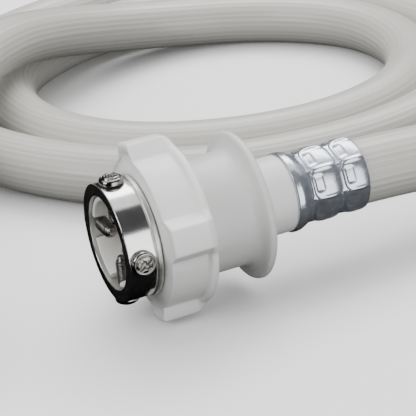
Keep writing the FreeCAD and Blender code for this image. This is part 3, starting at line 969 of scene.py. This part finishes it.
def elbow_stations():
    """Rings of (place, heading, radius): outside from spigot to flange, then back inside."""
    corner = Vector((END_AXIS_X, UNION_Y, UNION_Z))
    from_hose = Vector((0, -1, 0))
    to_nut = Vector((-1, 0, 0))
    shoulder = UNION_Y - END_COLLAR_Y
    rings = []
    for reach, radius in (
        (shoulder - ELBOW_SPIGOT, SPIGOT_R),
        (shoulder, SPIGOT_R),
        (shoulder, ELBOW_R - 0.3),
        (shoulder + 0.0003, ELBOW_R),
    ):
        rings.append((corner + from_hose * reach, from_hose, radius))
    for i in range(ELBOW_BEND_STEPS + 1):
        turn = math.pi / 2 * i / ELBOW_BEND_STEPS
        x = ELBOW_BEND * (math.cos(turn) - 1)
        y = ELBOW_BEND * (1 - math.sin(turn))
        heading = Vector((-math.sin(turn), -math.cos(turn), 0))
        rings.append((corner + Vector((x, y, 0)), heading, ELBOW_R))
    inside = [(place, heading, ELBOW_BORE_R) for place, heading, _ in reversed(rings[3:])]
    flange = UNION_BACK - FLANGE_GAP
    tip = flange - FLANGE_THICKNESS
    for x, radius in (
        (flange, ELBOW_R),
        (flange, FLANGE_R - 0.2),
        (flange - EDGE, FLANGE_R),
        (tip + EDGE, FLANGE_R),
        (tip, FLANGE_R - 0.2),
        (tip, ELBOW_BORE_R),
    ):
        rings.append((Vector((x, UNION_Y, UNION_Z)), to_nut, radius))
    return rings + inside + [(rings[0][0], from_hose, ELBOW_BORE_R)]


def elbow():
    """Round elbow with a swept corner, a spigot in the hose and a flange inside the nut."""
    rings = elbow_stations()
    points = []
    for place, heading, radius in rings:
        side = heading.cross(UP)
        for k in range(ELBOW_SIDES):
            turn = FULL_TURN * k / ELBOW_SIDES
            out = side * math.cos(turn) + UP * math.sin(turn)
            points.append(place + out * radius * MM)
    piece = make_object("plastic_elbow", points, quads(len(rings), ELBOW_SIDES))
    return finish_piece(even_normals(piece), WHITE, "socket", "elbow")


# ---------------------------------------------------------------- carried-over CAD nodes

def paint_node(node, material):
    """Gives a CAD node that stays in the picture its finish."""
    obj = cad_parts[node]
    obj.data.materials.clear()
    obj.data.materials.append(material)
    return obj


# ---------------------------------------------------------------- stage

FLOOR_HALF = 6.0
FLOOR_COLOUR = (0.93, 0.93, 0.93, 1)
FLOOR_ROUGHNESS = 0.7
SKY_COLOUR = (0.98, 0.99, 1.0, 1)
SKY_SPAN = (-0.5, 0.8)
SKY_BELOW = 0.12
SKY_ABOVE = 1.1
LIGHTS = [
    # name, place, tilt and heading in degrees, size in metres, power in watts
    ("overhead back", (0.45, 0.65, 0.85), 0, 0, (0.88, 0.72), 14),
    ("overhead front", (0.45, 0.08, 0.85), 0, 0, (0.88, 0.42), 1.5),
    ("overhead left", (-0.45, 0.35, 0.85), 0, 0, (0.88, 1.0), 2.4),
    ("overhead right", (1.35, 0.35, 0.85), 0, 0, (0.88, 1.0), 2.4),
    ("front", (0.175, -0.7, 0.07), 90, 0, (0.75, 0.7), 4.9),
    ("fill", (0.3, -0.42, 0.645), 36, 0, (0.9, 0.68), 0.1),
    ("left", (-0.8, -0.1, 0.5), 59, -83, (0.46, 0.46), 4.0),
]


def add_floor():
    """A plain pale floor far larger than the view, not mirrored and throwing no light back up."""
    points = [
        (-FLOOR_HALF, -FLOOR_HALF, 0),
        (FLOOR_HALF, -FLOOR_HALF, 0),
        (FLOOR_HALF, FLOOR_HALF, 0),
        (-FLOOR_HALF, FLOOR_HALF, 0),
    ]
    floor = make_object("floor", points, [(0, 1, 2, 3)])
    material, _, _, shader = new_material("floor")
    shader.inputs["Base Color"].default_value = FLOOR_COLOUR
    shader.inputs["Roughness"].default_value = FLOOR_ROUGHNESS
    floor.data.materials.append(material)
    floor.visible_glossy = False
    floor.visible_diffuse = False


def add_light(name, place, tilt, heading, size, power):
    """An area light that faces down when tilt is 0 and along +Y when tilt is 90 and heading 0."""
    data = bpy.data.lights.new(name, "AREA")
    data.shape = "RECTANGLE"
    data.size = size[0]
    data.size_y = size[1]
    data.energy = power
    lamp = bpy.data.objects.new(name, data)
    bpy.context.collection.objects.link(lamp)
    lamp.matrix_world = Matrix.Translation(place) @ rotation(heading, "Z") @ rotation(tilt, "X")
    lamp.visible_camera = False


def add_sky():
    """A studio sky, bright overhead and dim below. Shiny surfaces don't mirror it."""
    world = bpy.data.worlds.new("studio")
    world.use_nodes = True
    nodes = world.node_tree.nodes
    links = world.node_tree.links
    direction = nodes.new("ShaderNodeTexCoord").outputs["Generated"]
    split = nodes.new("ShaderNodeSeparateXYZ")
    links.new(direction, split.inputs["Vector"])
    ramp = nodes.new("ShaderNodeMapRange")
    ramp.inputs["From Min"].default_value = SKY_SPAN[0]
    ramp.inputs["From Max"].default_value = SKY_SPAN[1]
    ramp.inputs["To Min"].default_value = SKY_BELOW
    ramp.inputs["To Max"].default_value = SKY_ABOVE
    links.new(split.outputs["Z"], ramp.inputs["Value"])
    back = nodes["Background"]
    back.inputs["Color"].default_value = SKY_COLOUR
    links.new(ramp.outputs["Result"], back.inputs["Strength"])
    bpy.context.scene.world = world
    world.cycles_visibility.glossy = False


def add_lights():
    """Soft boxes overhead and in front, weaker panels beside and between them, one at the left."""
    for light in LIGHTS:
        add_light(*light)
    add_sky()


# ---------------------------------------------------------------- build

add_camera()
hose_line = smooth_line(LEAD + coil_points() + TAIL)
hose = hose_tube(hose_line)
hose.data.materials.append(HOSE)
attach(hose, "socket")
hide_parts("hose_lead", "hose_coil", "hose_tail")

clamp_ring()
for number in range(SCREWS):
    clamp_screw(number)
packing()
lock_nut()
release_sleeve()
socket_body()
ferrule_shell("crimped_ferrule", on_ferrule, "ferrule")
end_shell = ferrule_shell("end_crimp", on_end_ferrule, "end_ferrule")
elbow_piece = elbow()
union_piece = union_nut()
washer = paint_node("inlet_washer", BLACK_RUBBER)
paint_node("adapter_core", WHITE)
paint_node("nipple_o_ring", BLACK_RUBBER)
paint_node("lock_ring", BRASS)
paint_node("sleeve_spring", STEEL)
for number in range(BALLS):
    paint_node("lock_ball_%d" % (number + 1), STEEL)

add_floor()
add_lights()
